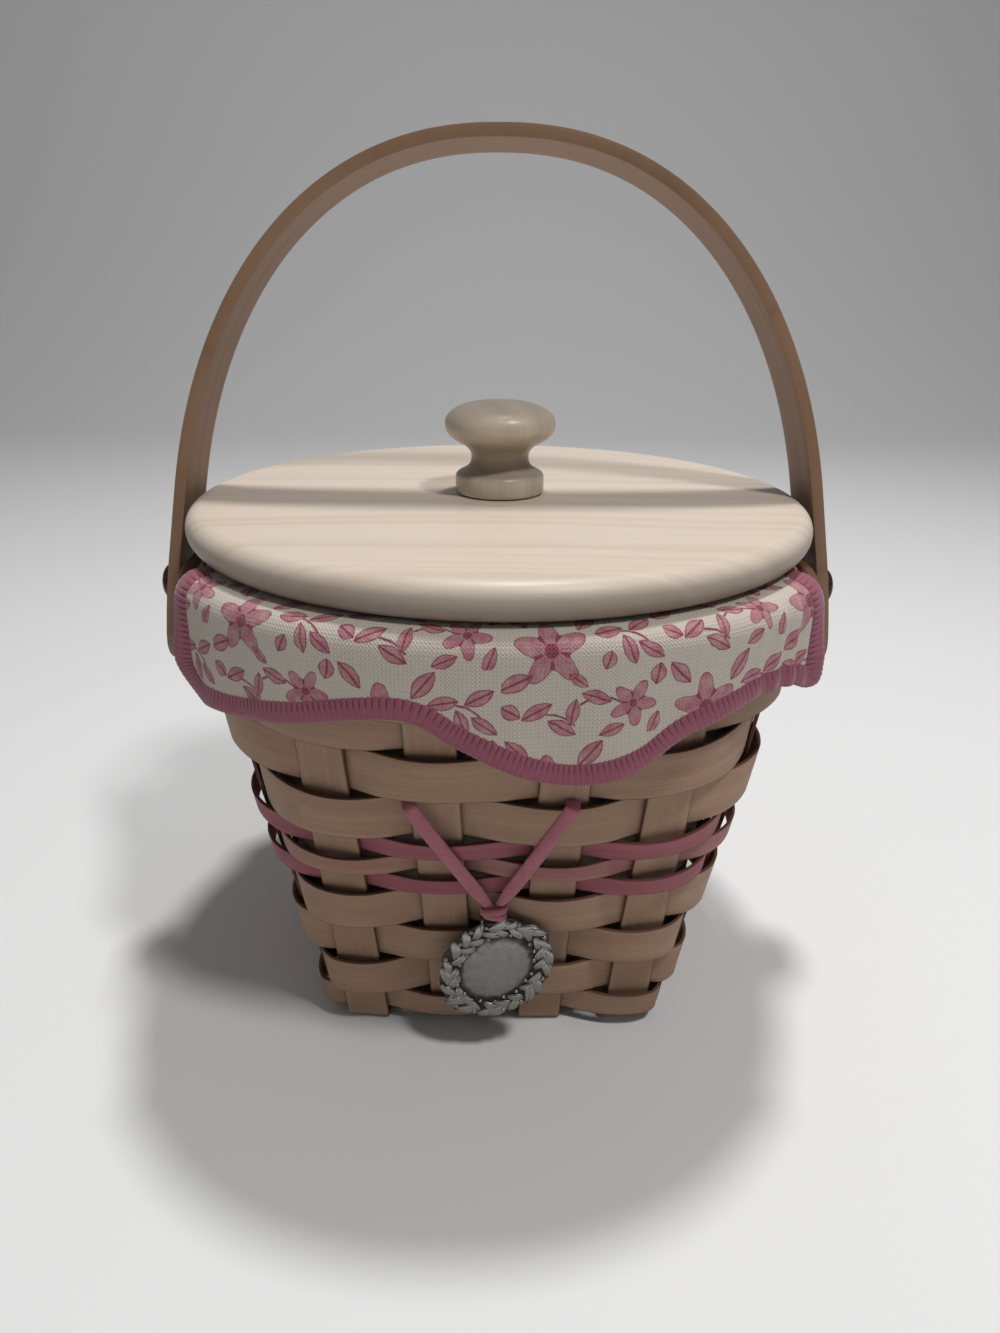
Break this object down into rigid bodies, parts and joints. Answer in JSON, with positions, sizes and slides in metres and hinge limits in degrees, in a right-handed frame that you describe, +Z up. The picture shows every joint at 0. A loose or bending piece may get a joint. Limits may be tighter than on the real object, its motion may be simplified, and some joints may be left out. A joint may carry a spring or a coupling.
{
  "type": "lined splint basket with lid",
  "caption": "Woven splint basket with a square foot and round rim, swing handle, knobbed wooden lid, cloth liner turned over the rim, and a charm tied to its front.",
  "frame": {"origin": "centre of the square foot, on the surface it stands on", "axes": "+Z up, +Y towards the back of the basket, +X to the right seen from the front"},
  "size_m": [0.2052, 0.1896, 0.2473],
  "materials": {
    "ash_splint": "satin, lightly stained",
    "rose_splint": "rose stain",
    "blush_splint": "pale stain",
    "bent_wood": "satin, tan-brown stain",
    "pale_wood": "clear satin",
    "printed_cotton": "woven, printed",
    "rose_thread": "twisted thread",
    "dark_bronze": "darkened",
    "pewter": "antiqued",
    "plated_steel": "plated"
  },
  "bodies": {
    "basket": {"upright_front_back_1": "ash_splint", "upright_front_back_2": "ash_splint", "upright_front_back_3": "ash_splint", "upright_front_back_4": "ash_splint", "upright_left_right_1": "ash_splint", "upright_left_right_2": "ash_splint", "upright_left_right_3": "ash_splint", "upright_left_right_4": "ash_splint", "weaver_foot": "ash_splint", "weaver_lower_1": "ash_splint", "weaver_lower_2": "ash_splint", "weaver_lower_3": "ash_splint", "weaver_rose_1": "rose_splint", "weaver_blush": "blush_splint", "weaver_rose_2": "rose_splint", "weaver_upper_1": "ash_splint", "weaver_upper_2": "ash_splint", "weaver_under_rim": "ash_splint", "weaver_rim": "ash_splint", "rim_hoop_outer": "ash_splint", "rim_hoop_inner": "ash_splint", "rivet_left": "dark_bronze", "rivet_burr_left": "dark_bronze", "pivot_spacer_left": "bent_wood", "rivet_right": "dark_bronze", "rivet_burr_right": "dark_bronze", "pivot_spacer_right": "bent_wood", "liner_bag": "printed_cotton", "valance_front": "printed_cotton", "valance_edging_front": "rose_thread", "valance_back": "printed_cotton", "valance_edging_back": "rose_thread", "lace_left": "rose_thread", "lace_right": "rose_thread", "lace_knot": "rose_thread"},
    "handle": {"handle": "bent_wood"},
    "lid": {"lid": "pale_wood", "lid_knob": "pale_wood", "knob_screw": "plated_steel"},
    "charm": {"charm": "pewter", "charm_ring": "pewter"}
  },
  "joints": [
    {"name": "lid_draw", "type": "slide", "parent": "basket", "child": "lid", "axis": [0, -0.9659, 0.2588], "range_m": [0, 0.09]},
    {"name": "handle_swing", "type": "hinge", "parent": "basket", "child": "handle", "pos_m": [0, 0, 0.1248], "axis": [1, 0, 0], "range_deg": [-94.5, 101.5]},
    {"name": "charm_swing", "type": "hinge", "parent": "basket", "child": "charm", "pos_m": [-0.001, -0.0665, 0.0529], "axis": [1, 0, 0], "range_deg": [-70, 10]}
  ]
}
